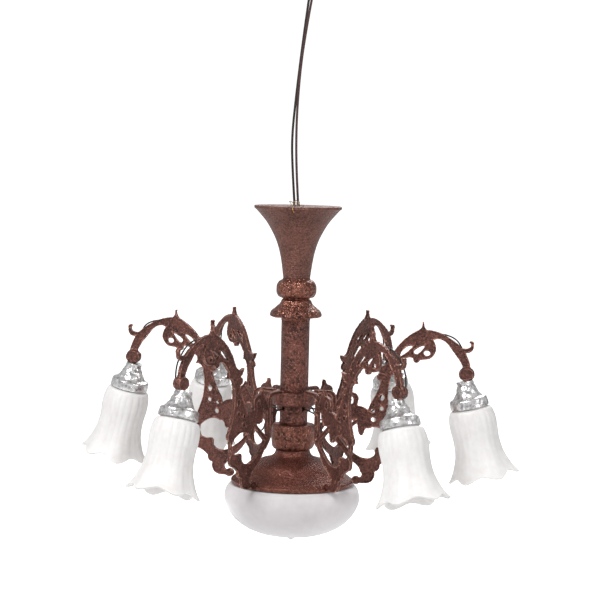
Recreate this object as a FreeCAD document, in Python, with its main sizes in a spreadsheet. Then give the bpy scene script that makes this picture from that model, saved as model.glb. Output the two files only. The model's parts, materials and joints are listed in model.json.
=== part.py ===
import FreeCAD, Part
import math
import os

import Sketcher

# A dolls-house chandelier: six openwork arms with tulip shades around a turned column,
# a bowl under the column's dome, and two leads that rise from the ceiling cup.
# The origin is the centre of the cup's flat top face, with +Z up, so the light hangs at -Z.

SIZES = {
    # centre tube, and the bore of every turned piece threaded on it
    "bore_radius": 1.65,
    "tube_radius": 1.6,
    "tube_inside_radius": 1.25,
    "tube_top_depth": 2.0,
    "tube_length": 50.6,
    "wire_hole_radius": 0.4,
    "wire_hole_depth": 39.45,
    # turned pieces, from the ceiling down
    "cup_height": 14.1,
    "cup_top_radius": 8.53,
    "cup_foot_radius": 2.62,
    "cup_lip": 0.25,
    "bead_height": 4.0,
    "bead_radius": 3.92,
    "bead_neck_radius": 2.82,
    "flange_height": 4.2,
    "flange_radius": 5.03,
    "flange_step_radius": 2.85,
    "flange_step_height": 0.7,
    "upper_column_height": 13.9,
    "upper_column_radius": 2.76,
    "collar_height": 2.7,
    "collar_radius": 4.2,
    "collar_edge": 0.25,
    "washer_height": 1.1,
    "washer_radius": 3.3,
    "washer_slot": 0.6,
    "lower_column_height": 2.6,
    "lower_column_radius": 2.73,
    "hub_height": 5.0,
    "hub_top_radius": 3.9,
    "hub_foot_radius": 3.3,
    "neck_height": 2.0,
    "neck_radius": 5.6,
    "neck_top_radius": 3.3,
    "dome_height": 4.7,
    "dome_radius": 12.0,
    "dome_rim_inside_radius": 11.45,
    "dome_rim_height": 0.74,
    "nut_across_flats": 5.5,
    "nut_height": 1.6,
    # bowl under the dome
    "bowl_height": 11.95,
    "bowl_tip_depth": 65.6,
    "bowl_neck_radius": 11.2,
    "bowl_neck_inside_radius": 10.5,
    "bowl_radius": 13.3,
    "bowl_nub_radius": 0.9,
    "bowl_travel": 15.0,
    "bowl_bulb_radius": 2.0,
    "bowl_bulb_length": 6.3,
    # arms
    "arm_plate": 0.9,
    "boss_thickness": 2.0,
    "tilt_pivot_radius": 8.0,
    "tilt_pivot_depth": 40.0,
    # caps, shades and bulbs, each along its own leaning axis from the cap's rim
    "cap_rim_radius": 34.35,
    "cap_rim_depth": 38.05,
    "cap_height": 5.1,
    "cap_neck_radius": 1.7,
    "cap_flange_radius": 3.8,
    "cap_socket_radius": 3.35,
    "cap_socket_depth": 1.3,
    "shade_neck_radius": 3.2,
    "shade_neck_inside_radius": 2.7,
    "shade_neck_height": 1.15,
    "shade_length": 13.4,
    "shade_mouth_radius": 6.4,
    "petal_notch_radius": 3.1,
    "bulb_base_radius": 1.15,
    "bulb_base_height": 4.15,
    "bulb_radius": 1.5,
    "bulb_length": 6.0,
    # wires, leads and plug
    "lamp_wire_radius": 0.15,
    "bundle_radius": 0.9,
    "bundle_top_depth": 1.6,
    "bundle_length": 49.9,
    "stub_radius": 0.25,
    "stub_height": 2.6,
    "lead_radius": 0.23,
    "plug_width": 6.6,
    "plug_thickness": 3.6,
    "plug_height": 8.0,
    "pin_radius": 0.5,
    "pin_length": 5.0,
    "pin_spacing": 3.2,
}

# The arms were bent and soldered on by hand, so each has its own place:
# azimuth from +X, upward tilt of the arm, and the cap's and shade's outward lean from the arm,
# all in degrees.
ARM_PLACES = {
    "right": (-8.0, 0.3, 12.7),
    "front_right": (-55.5, -1.6, 19.6),
    "front_left": (-127.5, -0.2, 16.2),
    "left": (165.0, 1.5, 11.5),
    "back_left": (120.5, 0.0, 15.0),
    "back_right": (54.0, 0.0, 15.0),
}

doc = FreeCAD.newDocument("miniature_chandelier")
pieces = []


def fill_sheet():
    """Put every driving dimension in the spreadsheet under its own alias."""
    sheet = doc.addObject("Spreadsheet::Sheet", "sizes")
    for row, (alias, value) in enumerate(SIZES.items(), start=1):
        sheet.set(f"A{row}", alias)
        sheet.set(f"B{row}", str(value))
        sheet.setAlias(f"B{row}", alias)
    doc.recompute()


def size(value):
    """A coordinate is a number, or the name of a size with an optional minus sign."""
    if not isinstance(value, str):
        return value
    return -SIZES[value[1:]] if value.startswith("-") else SIZES[value]


def point(coordinates):
    return FreeCAD.Vector(size(coordinates[0]), size(coordinates[1]), 0)


# ---------------------------------------------------------------- sketches and features


def new_body(label):
    body = doc.addObject("PartDesign::Body", label)
    body.Label = label
    pieces.append(body)
    return body


def new_sketch(body, name, role="XZ_Plane"):
    """A sketch on one of the body's own origin planes."""
    sketch = body.newObject("Sketcher::SketchObject", f"{body.Label}_{name}")
    plane = next(o for o in body.Origin.OriginFeatures if o.Role == role)
    sketch.AttachmentSupport = [(plane, "")]
    sketch.MapMode = "FlatFace"
    return sketch


def span_curve(points):
    """Two points make a line, three an arc, and more a smooth curve through them all."""
    if len(points) == 2:
        return Part.LineSegment(*points)
    if len(points) == 3:
        return Part.Arc(*points)
    curve = Part.BSplineCurve()
    curve.interpolate(points)
    return curve


def end_at(sketch, index, place):
    """Which end of an edge lies at a point: 1 for its start, 2 for its end."""
    return min((1, 2), key=lambda end: sketch.getPoint(index, end).distanceToPoint(place))


def fix_coordinate(sketch, kind, vertex, value):
    """Bind one coordinate of a vertex to its cell in the sheet."""
    origin = (-1, 1)
    ends = (*vertex, *origin) if value.startswith("-") else (*origin, *vertex)
    index = sketch.addConstraint(Sketcher.Constraint(kind, *ends, abs(size(value))))
    sketch.setExpression(f"Constraints[{index}]", f"sizes.{value.lstrip('-')}")


def draw_outline(sketch, start, *spans):
    """Draw a closed outline. Each span lists the points that follow the last one's end."""
    vertices, edges = [start], []
    for span in spans:
        corners = [vertices[-1], *span]
        edges.append(sketch.addGeometry(span_curve([point(p) for p in corners]), False))
        vertices.append(span[-1])
    if point(vertices[-1]).distanceToPoint(point(start)) > 1e-6:
        closing = Part.LineSegment(point(vertices[-1]), point(start))
        edges.append(sketch.addGeometry(closing, False))
    else:
        vertices.pop()
    for index, vertex in enumerate(vertices):
        place = point(vertex)
        here = (edges[index], end_at(sketch, edges[index], place))
        before = (edges[index - 1], end_at(sketch, edges[index - 1], place))
        sketch.addConstraint(Sketcher.Constraint("Coincident", *before, *here))
        for kind, value in zip(("DistanceX", "DistanceY"), vertex):
            if isinstance(value, str):
                fix_coordinate(sketch, kind, here, value)


def draw_oval(sketch, centre, half_width, half_height):
    """A closed oval, its long axis across or upright."""
    if half_width >= half_height:
        oval = Part.Ellipse(point(centre), half_width, half_height)
    else:
        long_end = point((centre[0], centre[1] + half_height))
        wide_end = point((centre[0] + half_width, centre[1]))
        oval = Part.Ellipse(long_end, wide_end, point(centre))
    sketch.addGeometry(oval, False)


def revolve(body, sketch):
    turned = body.newObject("PartDesign::Revolution", f"{body.Label}_turned")
    turned.Profile = sketch
    turned.ReferenceAxis = (sketch, ["V_Axis"])
    turned.Angle = 360
    return turned


def pad(body, sketch, length, name="pad"):
    """Pad a sketch to both sides of its plane, to a length from the sheet."""
    feature = body.newObject("PartDesign::Pad", f"{body.Label}_{name}")
    feature.Profile = sketch
    feature.SideType = "Symmetric"
    feature.setExpression("Length", f"sizes.{length}")
    return feature


def turned_piece(label, start, *spans):
    """A body of revolution about its own Z axis, from its half outline (radius, height)."""
    body = new_body(label)
    sketch = new_sketch(body, "outline")
    draw_outline(sketch, start, *spans)
    revolve(body, sketch)
    return body


def simple_object(kind, name, **formulas):
    """A Part primitive whose properties are bound to the sheet."""
    made = doc.addObject(kind, name)
    for name_of_property, formula in formulas.items():
        made.setExpression(name_of_property, formula)
    return made


# ---------------------------------------------------------------- the turned column


def make_ceiling_cup():
    return turned_piece(
        "ceiling_cup",
        ("bore_radius", 0),
        [("cup_foot_radius", 0)],
        [(2.77, 1.2), (3.05, 3.2), (3.45, 5.2), (4.08, 7.2), (5.0, 9.15), (6.23, 11.13),
         ("cup_top_radius", SIZES["cup_height"] - SIZES["cup_lip"])],
        [("cup_top_radius", "cup_height")],
        [("bore_radius", "cup_height")],
    )


def make_column_bead():
    return turned_piece(
        "column_bead",
        ("bore_radius", 0),
        [("bead_neck_radius", 0)],
        [(3.65, 0.4), ("bead_radius", 1.4), ("bead_radius", 2.5), (3.6, 3.45), (2.7, "bead_height")],
        [("bore_radius", "bead_height")],
    )


def make_bell_flange():
    return turned_piece(
        "bell_flange",
        ("bore_radius", 0),
        [("flange_step_radius", 0)],
        [("flange_step_radius", "flange_step_height")],
        [(4.9, "flange_step_height")],
        [("flange_radius", 1.3)],
        [(3.86, 2.7), (3.1, 3.5), ("bead_neck_radius", "flange_height")],
        [("bore_radius", "flange_height")],
    )


def make_sleeve(label, radius, height):
    """A plain sleeve between two of the turned pieces."""
    return turned_piece(
        label, ("bore_radius", 0), [(radius, 0)], [(radius, height)], [("bore_radius", height)]
    )


def make_arm_collar():
    edge = SIZES["collar_edge"]
    shoulder = SIZES["collar_radius"] - edge
    return turned_piece(
        "arm_collar",
        ("bore_radius", 0),
        [(shoulder, 0)],
        [("collar_radius", edge)],
        [("collar_radius", SIZES["collar_height"] - edge)],
        [(shoulder, "collar_height")],
        [("bore_radius", "collar_height")],
    )


def make_hub():
    return turned_piece(
        "hub",
        ("bore_radius", 0),
        [("hub_foot_radius", 0)],
        [(3.95, 0.4), (4.2, 1.3), (4.25, 3.6), ("hub_top_radius", "hub_height")],
        [("bore_radius", "hub_height")],
    )


def make_dome_neck():
    return turned_piece(
        "dome_neck",
        ("bore_radius", 0),
        [("neck_radius", 0)],
        [(4.35, 0.5), (3.6, 1.1), ("neck_top_radius", "neck_height")],
        [("bore_radius", "neck_height")],
    )


def make_base_dome():
    return turned_piece(
        "base_dome",
        ("dome_rim_inside_radius", 0),
        [("dome_radius", 0)],
        [("dome_radius", "dome_rim_height")],
        [(11.07, 1.4), (9.13, 2.6), (7.7, 3.8), (6.0, "dome_height")],
        [("bore_radius", "dome_height")],
        [("bore_radius", 4.0)],
        [(5.7, 4.0)],
        [(7.3, 3.1), (8.8, 1.95), (10.4, 1.15), ("dome_rim_inside_radius", 0.85)],
    )


def make_wire_washer():
    """A slotted washer: the lamp wires leave the column through it, one slot to an arm."""
    slots = []
    for label, (azimuth, _, _) in ARM_PLACES.items():
        slot = simple_object(
            "Part::Box", f"washer_slot_{label}",
            Length="sizes.washer_radius + 1", Width="sizes.washer_slot", Height="sizes.washer_height",
        )
        turn = FreeCAD.Rotation(FreeCAD.Vector(0, 0, 1), azimuth)
        corner = FreeCAD.Vector(0, -SIZES["washer_slot"] / 2, 0)
        slot.Placement = FreeCAD.Placement(turn.multVec(corner), turn)
        slots.append(slot)
    disc = simple_object(
        "Part::Cylinder", "washer_disc", Radius="sizes.washer_radius", Height="sizes.washer_height"
    )
    bore = simple_object(
        "Part::Cylinder", "washer_bore", Radius="sizes.bore_radius", Height="sizes.washer_height"
    )
    openings = doc.addObject("Part::MultiFuse", "washer_openings")
    openings.Shapes = [bore, *slots]
    washer = doc.addObject("Part::Cut", "wire_washer")
    washer.Base, washer.Tool = disc, openings
    # the slots run out to the rim, so a thin floor joins the six sectors
    floor = simple_object(
        "Part::Cylinder", "washer_floor", Radius="sizes.washer_radius", Height="sizes.washer_height / 5"
    )
    floor_bore = simple_object(
        "Part::Cylinder", "washer_floor_bore", Radius="sizes.bore_radius", Height="sizes.washer_height"
    )
    floor_ring = doc.addObject("Part::Cut", "washer_floor_ring")
    floor_ring.Base, floor_ring.Tool = floor, floor_bore
    whole = doc.addObject("Part::Fuse", "wire_washer_whole")
    whole.Base, whole.Tool = washer, floor_ring
    washer.Label = "washer_sectors"
    whole.Label = "wire_washer"
    pieces.append(whole)
    return whole


def stack_column():
    """Make the turned pieces and hang each one under the last."""
    stack = [
        (make_ceiling_cup(), "cup_height"),
        (make_column_bead(), "bead_height"),
        (make_bell_flange(), "flange_height"),
        (make_sleeve("upper_column", "upper_column_radius", "upper_column_height"),
         "upper_column_height"),
        (make_arm_collar(), "collar_height"),
        (make_wire_washer(), "washer_height"),
        (make_sleeve("lower_column", "lower_column_radius", "lower_column_height"),
         "lower_column_height"),
        (make_hub(), "hub_height"),
        (make_dome_neck(), "neck_height"),
        (make_base_dome(), "dome_height"),
    ]
    depth = ""
    for piece, height in stack:
        depth += f" - sizes.{height}"
        piece.setExpression(".Placement.Base.z", depth.strip())


def make_centre_tube():
    """The tube that holds the stack, with a hole for each lamp wire at the washer."""
    tube = simple_object(
        "Part::Cylinder", "tube_rod", Radius="sizes.tube_radius", Height="sizes.tube_length"
    )
    inside = simple_object(
        "Part::Cylinder", "tube_inside", Radius="sizes.tube_inside_radius", Height="sizes.tube_length"
    )
    bottom = "- sizes.tube_top_depth - sizes.tube_length"
    for cylinder in (tube, inside):
        cylinder.setExpression(".Placement.Base.z", bottom)
    holes = []
    for label, (azimuth, _, _) in ARM_PLACES.items():
        hole = simple_object(
            "Part::Cylinder", f"tube_hole_{label}", Radius="sizes.wire_hole_radius",
            Height="sizes.tube_radius + 1",
        )
        across = FreeCAD.Rotation(FreeCAD.Vector(0, 1, 0), 90)
        turn = FreeCAD.Rotation(FreeCAD.Vector(0, 0, 1), azimuth)
        hole.Placement = FreeCAD.Placement(FreeCAD.Vector(), turn.multiply(across))
        hole.setExpression(".Placement.Base.z", "- sizes.wire_hole_depth")
        holes.append(hole)
    openings = doc.addObject("Part::MultiFuse", "tube_openings")
    openings.Shapes = [inside, *holes]
    cut = doc.addObject("Part::Cut", "centre_tube")
    cut.Base, cut.Tool = tube, openings
    pieces.append(cut)


def make_tube_nut():
    """The hexagon nut that clamps the stack from inside the dome."""
    nut = simple_object(
        "Part::Prism", "nut_blank", Circumradius="sizes.nut_across_flats / 2 / cos(30 deg)",
        Height="sizes.nut_height",
    )
    thread = simple_object(
        "Part::Cylinder", "nut_thread", Radius="sizes.tube_radius", Height="sizes.nut_height"
    )
    cut = doc.addObject("Part::Cut", "tube_nut")
    cut.Base, cut.Tool = nut, thread
    dome_ceiling_depth = 50.3
    cut.setExpression(".Placement.Base.z", f"- {dome_ceiling_depth} - sizes.nut_height")
    pieces.append(cut)


# ---------------------------------------------------------------- bowl


def make_bowl():
    """The thin bowl with its moulded nub; its neck pushes up inside the dome's rim."""
    bowl = turned_piece(
        "bowl",
        (0, 0),
        [(0.64, 0.26), ("bowl_nub_radius", 0.9)],
        [("bowl_nub_radius", 1.35)],
        [(4.0, 1.3), (6.6, 1.7), (9.3, 2.85), (11.3, 4.4), (12.6, 6.2), ("bowl_radius", 8.2),
         (13.0, 10.1), (12.2, 11.15)],
        [("bowl_neck_radius", 11.15)],
        [("bowl_neck_radius", "bowl_height")],
        [("bowl_neck_inside_radius", "bowl_height")],
        [("bowl_neck_inside_radius", 10.7)],
        [(12.0, 10.0), (12.6, 8.2), (11.95, 6.5), (10.8, 5.0), (9.0, 3.65), (6.3, 2.5), (0, 2.0)],
    )
    bowl.setExpression(".Placement.Base.z", "- sizes.bowl_tip_depth")


def make_bowl_bulb():
    """A small bulb whose base sits in the centre tube's lower end."""
    base_top = SIZES["bowl_bulb_length"] + 1.7
    slant = SIZES["bowl_bulb_radius"] * math.sqrt(0.5)
    bulb = turned_piece(
        "bowl_bulb",
        (0, 0),
        [(slant, SIZES["bowl_bulb_radius"] - slant), ("bowl_bulb_radius", "bowl_bulb_radius")],
        [("bowl_bulb_radius", 4.6)],
        [(1.8, 5.6), (1.2, "bowl_bulb_length")],
        [(1.2, base_top)],
        [(0, base_top)],
    )
    bulb.setExpression(
        ".Placement.Base.z", f"- sizes.bundle_top_depth - sizes.bundle_length - {base_top}"
    )


# ---------------------------------------------------------------- arms


def draw_arm_outline(sketch):
    """The casting's edge, as (radius, height) from the column's axis and the cup's top."""
    draw_outline(
        sketch,
        (3.95, -35.75),
        # hook over the collar, then the leaf and the curl of the inner scroll
        [(6.9, -35.75)],
        [(7.95, -36.2), (8.37, -37.2)],
        [(8.37, -38.1)],
        [(8.9, -37.2), (9.4, -36.4), (9.85, -35.7)],
        [(9.85, -35.2), (10.15, -34.7)],
        [(10.45, -35.4), (10.9, -35.85)],
        [(11.6, -35.95), (12.3, -36.3), (12.75, -37.0), (12.6, -38.0), (12.55, -38.6)],
        [(13.6, -38.75), (14.6, -39.4)],
        # inner edge of the stem, with its bud and leaf
        [(15.1, -38.0), (15.9, -36.6), (16.6, -35.0), (17.05, -33.5)],
        [(16.2, -32.75), (17.1, -32.1)],
        [(16.2, -31.3), (15.8, -30.3)],
        [(17.2, -30.6), (18.35, -29.8)],
        # top of the arch, with its leaf, then the hook leaf over the end boss
        [(18.9, -28.6), (19.7, -27.3), (20.9, -25.8), (22.4, -24.5), (24.2, -23.4)],
        [(24.8, -22.7), (24.85, -21.7)],
        [(25.2, -21.8)],
        [(25.25, -22.6), (25.7, -23.35)],
        [(26.4, -23.35), (27.2, -23.5), (28.4, -23.85), (30.0, -24.7), (31.5, -25.7), (32.5, -26.6)],
        [(33.4, -26.75), (34.1, -26.5)],
        [(34.3, -25.9), (33.9, -25.5)],
        [(34.65, -25.35), (34.85, -26.1)],
        [(34.6, -27.1), (33.3, -27.6)],
        [(33.7, -28.4), (34.1, -29.4), (34.35, -30.5)],
        # end boss
        [(35.0, -31.2), (35.0, -32.1), (34.4, -32.8), (33.6, -33.0), (32.8, -32.8), (32.2, -32.1),
         (32.2, -31.2), (32.85, -30.5)],
        # underside of the arch, and the scroll that curls under it
        [(32.4, -29.5), (31.7, -28.4), (30.9, -27.4), (30.2, -26.4), (29.4, -25.6), (28.3, -25.1),
         (27.0, -25.3)],
        [(27.5, -26.3), (27.6, -27.3), (27.2, -28.2), (26.4, -28.95), (25.3, -29.15), (24.5, -29.3)],
        [(23.95, -29.8), (23.25, -28.95)],
        [(22.4, -28.8), (21.6, -29.2), (20.9, -30.0), (20.3, -30.6)],
        [(20.2, -31.3), (20.6, -32.1)],
        [(19.5, -32.2), (18.85, -33.4)],
        # outer edge of the stem down to its tip, and the thin strap below
        [(18.5, -35.3), (18.6, -37.9), (19.15, -40.2), (20.0, -42.4)],
        [(20.3, -43.3), (19.7, -43.9)],
        [(19.65, -45.2), (19.2, -46.4)],
        # outer lobe and foot
        [(19.75, -47.5), (19.2, -48.8)],
        [(18.1, -49.3), (17.1, -50.1)],
        [(16.9, -51.0), (16.1, -51.4)],
        [(16.1, -52.4), (15.5, -53.4), (14.4, -53.75), (13.2, -53.75)],
        [(12.0, -53.85), (11.6, -53.1)],
        [(12.3, -52.4), (13.1, -52.65)],
        [(13.6, -52.2), (13.3, -51.5)],
        [(12.6, -50.2), (11.2, -49.2), (9.8, -47.4), (8.1, -45.6)],
        # back up the inner strap
        [(7.72, -44.8), (7.63, -43.5)],
        [(7.63, -37.4)],
        [(7.4, -36.8), (6.8, -36.5)],
        [(3.95, -36.5)],
    )


def draw_arm_openings(sketch):
    """The openwork's gaps, from the column outwards."""
    # the gap between strap, inner scroll and brace
    draw_outline(
        sketch,
        (8.6, -39.3),
        [(9.3, -39.1), (9.8, -39.9)],
        [(10.2, -41.0), (10.9, -41.6)],
        [(12.1, -41.4)],
        [(8.7, -44.3)],
    )
    # the large gap, into which a small knob hangs
    draw_outline(
        sketch,
        (9.2, -45.0),
        [(12.5, -42.0)],
        [(12.7, -43.2), (13.0, -44.1), (13.45, -44.4), (13.85, -43.9), (14.2, -43.1), (14.9, -43.0)],
        [(15.9, -42.65), (17.2, -42.9), (18.3, -43.6), (19.0, -44.3)],
        [(19.05, -45.3), (18.75, -46.3)],
        [(17.6, -46.7), (16.6, -46.55)],
        [(16.15, -47.1), (16.1, -47.9), (15.6, -48.5), (14.6, -48.85)],
        [(13.2, -48.6), (11.6, -47.6), (10.0, -46.1), (9.2, -45.0)],
    )
    # the scroll's three gaps
    draw_outline(
        sketch,
        (25.5, -26.4),
        [(24.3, -26.8), (23.3, -27.6)],
        [(23.6, -28.1), (24.2, -28.0)],
        [(24.9, -27.3), (25.5, -26.4)],
    )
    draw_outline(
        sketch,
        (23.2, -26.5),
        [(21.6, -27.0), (20.6, -28.7)],
        [(21.8, -27.9), (23.2, -26.5)],
    )
    draw_oval(sketch, (25.85, -27.9), 0.65, 0.5)
    # small holes of the curl, the stem and the lobe
    draw_oval(sketch, (11.35, -37.5), 0.4, 0.75)
    draw_oval(sketch, (17.3, -36.8), 0.45, 0.6)
    draw_oval(sketch, (17.3, -39.0), 0.4, 0.4)
    draw_oval(sketch, (15.6, -39.5), 0.35, 0.35)
    draw_oval(sketch, (15.7, -41.2), 0.45, 0.45)


def arm_placement(azimuth, tilt):
    """Turn an arm to its azimuth, after tilting it up about its pivot by the collar."""
    pivot = FreeCAD.Vector(SIZES["tilt_pivot_radius"], 0, -SIZES["tilt_pivot_depth"])
    tilted = FreeCAD.Placement(
        FreeCAD.Vector(), FreeCAD.Rotation(FreeCAD.Vector(0, 1, 0), -tilt), pivot
    )
    turned = FreeCAD.Placement(FreeCAD.Vector(), FreeCAD.Rotation(FreeCAD.Vector(0, 0, 1), azimuth))
    return turned.multiply(tilted)


def make_arm(label, placement):
    arm = new_body(f"arm_{label}")
    plate_sketch = new_sketch(arm, "plate_sketch")
    draw_arm_outline(plate_sketch)
    draw_arm_openings(plate_sketch)
    pad(arm, plate_sketch, "arm_plate", "plate")
    boss_sketch = new_sketch(arm, "boss_sketch")
    draw_oval(boss_sketch, (33.6, -31.73), 1.42, 1.22)
    pad(arm, boss_sketch, "boss_thickness", "boss")
    arm.Placement = placement


# ---------------------------------------------------------------- caps, shades and bulbs


def shade_placement(arm, lean):
    """The frame of a cap, shade and bulb: the cap's rim centre, with local -Z down the shade."""
    rim = FreeCAD.Vector(SIZES["cap_rim_radius"], 0, -SIZES["cap_rim_depth"])
    leaning = FreeCAD.Placement(rim, FreeCAD.Rotation(FreeCAD.Vector(0, 1, 0), -lean))
    return arm.multiply(leaning)


def make_shade_cap(label, placement):
    """A bell-shaped cap, open below, with a socket for the shade and a bore for the bulb."""
    cap = turned_piece(
        f"shade_cap_{label}",
        ("cap_socket_radius", 0),
        [("cap_flange_radius", 0)],
        [(3.65, 1.6)],
        [(2.9, 2.0), (2.3, 2.9), (2.05, 3.6), ("cap_neck_radius", 4.3)],
        [("cap_neck_radius", "cap_height")],
        [(0, "cap_height")],
        [(0, 4.15)],
        [("bulb_base_radius", 4.15)],
        [("bulb_base_radius", 2.9)],
        [(2.3, 1.8)],
        [(2.6, "cap_socket_depth")],
        [("cap_socket_radius", "cap_socket_depth")],
    )
    cap.Placement = placement


def make_shade(label, placement):
    """A tulip shade: a thin shell with a push-in neck and a six-petalled mouth."""
    shade = turned_piece(
        f"shade_{label}",
        ("shade_neck_inside_radius", "shade_neck_height"),
        [("shade_neck_radius", "shade_neck_height")],
        [("shade_neck_radius", -0.25)],
        [(3.75, -0.3)],
        [(4.2, -0.8), (4.6, -2.2), (4.6, -4.0), (4.42, -6.5), (4.7, -9.0), (5.4, -11.2),
         ("shade_mouth_radius", "-shade_length")],
        [(5.98, -13.55)],
        [(5.0, -11.4), (4.27, -9.1), (3.98, -6.5), (4.15, -4.0), (4.1, -2.3), (3.4, -0.95),
         ("shade_neck_inside_radius", -0.7)],
    )
    notch_sketch = new_sketch(shade, "notch_sketch")
    notch_depth = 1.1
    centre = (0, -SIZES["shade_length"] - SIZES["petal_notch_radius"] + notch_depth)
    circle = Part.Circle(point(centre), FreeCAD.Vector(0, 0, 1), SIZES["petal_notch_radius"])
    ring = notch_sketch.addGeometry(circle, False)
    radius = notch_sketch.addConstraint(
        Sketcher.Constraint("Radius", ring, SIZES["petal_notch_radius"])
    )
    notch_sketch.setExpression(f"Constraints[{radius}]", "sizes.petal_notch_radius")
    notch = shade.newObject("PartDesign::Pocket", f"{shade.Label}_notch")
    notch.Profile = notch_sketch
    notch.SideType = "Symmetric"
    notch.setExpression("Length", "4 * sizes.shade_mouth_radius")
    doc.recompute()
    petals = shade.newObject("PartDesign::PolarPattern", f"{shade.Label}_petals")
    petals.Originals = [notch]
    petals.Axis = (notch_sketch, ["V_Axis"])
    petals.Angle = 120
    petals.Occurrences = 3
    shade.Tip = petals
    shade.Placement = placement


def make_shade_bulb(label, placement):
    """A grain-of-wheat bulb: its base fills the cap's bore, its envelope hangs in the shade."""
    slant = SIZES["bulb_radius"] * math.sqrt(0.5)
    round_start = SIZES["bulb_radius"] - SIZES["bulb_length"]
    bulb = turned_piece(
        f"shade_bulb_{label}",
        (0, "bulb_base_height"),
        [("bulb_base_radius", "bulb_base_height")],
        [("bulb_base_radius", 1.6)],
        [(1.42, 1.2), ("bulb_radius", 0.6)],
        [("bulb_radius", round_start)],
        [(slant, round_start - slant), (0, "-bulb_length")],
    )
    bulb.Placement = placement


# ---------------------------------------------------------------- wires, leads and plug


def rounded_path(points):
    """Straight runs joined by tangent arcs, each as large as its two runs allow."""
    edges, radii, last = [], [], points[0]
    for before, corner, after in zip(points, points[1:], points[2:]):
        inward = (before - corner).normalize()
        outward = (after - corner).normalize()
        cut = 0.45 * min(before.distanceToPoint(corner), corner.distanceToPoint(after))
        half_turn = (math.pi - inward.getAngle(outward)) / 2
        radius = cut / math.tan(half_turn)
        start, end = corner + inward * cut, corner + outward * cut
        bisector = (inward + outward).normalize()
        middle = corner + bisector * (radius / math.cos(half_turn) - radius)
        edges.append(Part.LineSegment(last, start).toShape())
        edges.append(Part.Arc(start, middle, end).toShape())
        radii.append(radius)
        last = end
    edges.append(Part.LineSegment(last, points[-1]).toShape())
    return Part.Wire(edges), radii


def make_wire(label, points, radius, placement=None):
    """A round wire along a rounded path, checked against its section times its length."""
    path, radii = rounded_path([FreeCAD.Vector(*p) for p in points])
    along = FreeCAD.Vector(*points[1]) - FreeCAD.Vector(*points[0])
    section = Part.Wire(Part.makeCircle(radius, FreeCAD.Vector(*points[0]), along))
    solid = path.makePipeShell([section], True, True)
    wanted = math.pi * radius**2 * path.Length
    if abs(solid.Volume / wanted - 1) > 0.01:
        raise ValueError(f"{label}: volume {solid.Volume:.3f} is not {wanted:.3f}")
    print(f"{label}: length {path.Length:.1f} mm, smallest radius {min(radii):.2f} mm")
    wire = doc.addObject("Part::Feature", label)
    wire.Shape = solid
    wire.Label = label
    if placement is not None:
        wire.Placement = placement
    pieces.append(wire)


def make_lamp_wire(label, azimuth, arm):
    """The thin wire from the column, along the arm's rear face, to its cap."""
    rear = 1 if math.cos(math.radians(azimuth)) > 0 else -1
    beside = rear * (SIZES["arm_plate"] / 2 + SIZES["lamp_wire_radius"] + 0.05)
    over_boss = rear * (SIZES["boss_thickness"] / 2 + SIZES["lamp_wire_radius"] + 0.25)
    hole = -SIZES["wire_hole_depth"]
    route = [
        (1.0, 0.0, hole),
        (4.3, 0.1 * beside, hole),
        (7.4, beside, hole - 0.7),
        (8.7, beside, -43.2),
        (10.9, beside, -42.9),
        (13.4, beside, -40.9),
        (16.0, beside, -39.3),
        (17.4, beside, -35.6),
        (17.9, beside, -31.8),
        (20.0, beside, -28.2),
        (22.6, beside, -25.4),
        (26.0, beside, -24.3),
        (29.2, beside, -24.1),
        (31.6, beside, -25.1),
        (33.1, over_boss, -27.9),
        (33.6, over_boss, -30.2),
        (33.4, over_boss, -32.9),
    ]
    make_wire(f"lamp_wire_{label}", route, SIZES["lamp_wire_radius"], arm)


LEAD_START = 1.0
LEAD_LEFT = [
    (-0.80, 0.36, LEAD_START),
    (-1.28, 0.34, 7.0),
    (-1.55, 0.30, 13.2),
    (-0.95, 0.34, 20.6),
    (-0.25, 0.40, 27.6),
    (0.45, 0.42, 34.0),
    (1.30, 0.40, 41.0),
    (1.95, 0.38, 47.0),
]
LEAD_RIGHT = [
    (-0.08, -0.36, LEAD_START),
    (-0.42, -0.38, 5.6),
    (-0.68, -0.36, 11.6),
    (-0.66, -0.38, 18.4),
    (-0.12, -0.42, 27.2),
    (0.85, -0.40, 34.4),
    (1.95, -0.38, 41.2),
    (2.85, -0.38, 47.0),
]


def make_wire_bundle():
    """The lamp wires twisted together inside the centre tube."""
    bundle = simple_object(
        "Part::Cylinder", "wire_bundle", Radius="sizes.bundle_radius", Height="sizes.bundle_length"
    )
    bundle.setExpression(".Placement.Base.z", "- sizes.bundle_top_depth - sizes.bundle_length")
    pieces.append(bundle)


def make_lead_joints():
    """The two bare soldered stubs between the bundle and the leads."""
    stubs = []
    for name, lead in (("left", LEAD_LEFT), ("right", LEAD_RIGHT)):
        stub = simple_object(
            "Part::Cylinder", f"stub_{name}", Radius="sizes.stub_radius", Height="sizes.stub_height"
        )
        stub.Placement.Base = FreeCAD.Vector(lead[0][0], lead[0][1], -SIZES["bundle_top_depth"])
        stubs.append(stub)
    joints = doc.addObject("Part::Compound", "lead_joints")
    joints.Links = stubs
    pieces.append(joints)


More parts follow.
